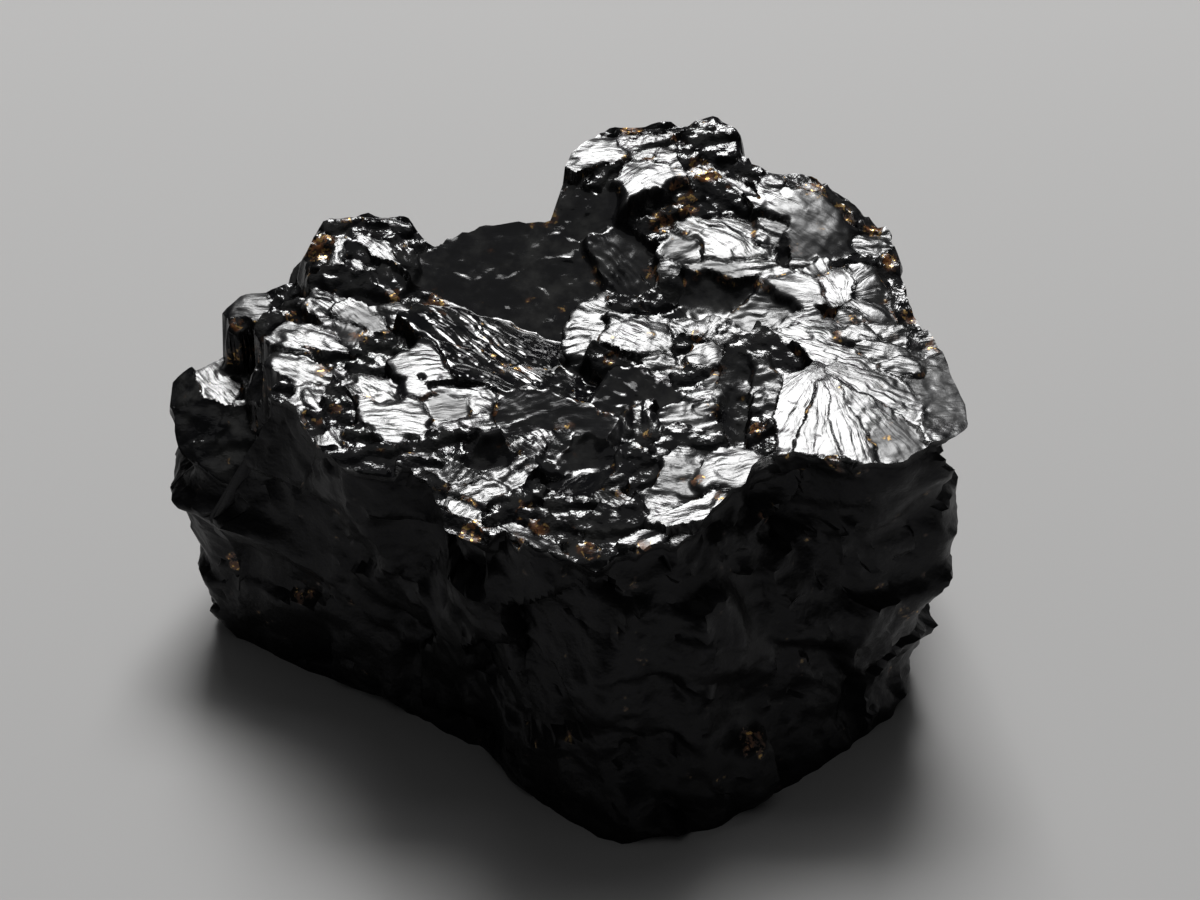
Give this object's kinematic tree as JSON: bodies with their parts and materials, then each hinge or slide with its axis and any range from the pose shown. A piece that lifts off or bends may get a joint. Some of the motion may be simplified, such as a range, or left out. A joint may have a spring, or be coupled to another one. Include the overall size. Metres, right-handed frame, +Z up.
{
  "type": "elite shungite specimen",
  "caption": "Lump of black glassy shungite, 48 mm wide: rough nearly level top of bright fracture facets and ribbed fans, steep dark sides, flat underside to rest on",
  "frame": {"origin": "middle of the bounding box's underside, on the surface that the stone rests on", "axes": "+X runs along its longest extent towards the end with the large fan, +Y to the back with the knob, +Z up through its shortest extent"},
  "size_m": [0.0482, 0.039, 0.0267],
  "materials": {
    "shungite": "gloss"
  },
  "bodies": {
    "root": {"shungite": "shungite"}
  },
  "joints": []
}
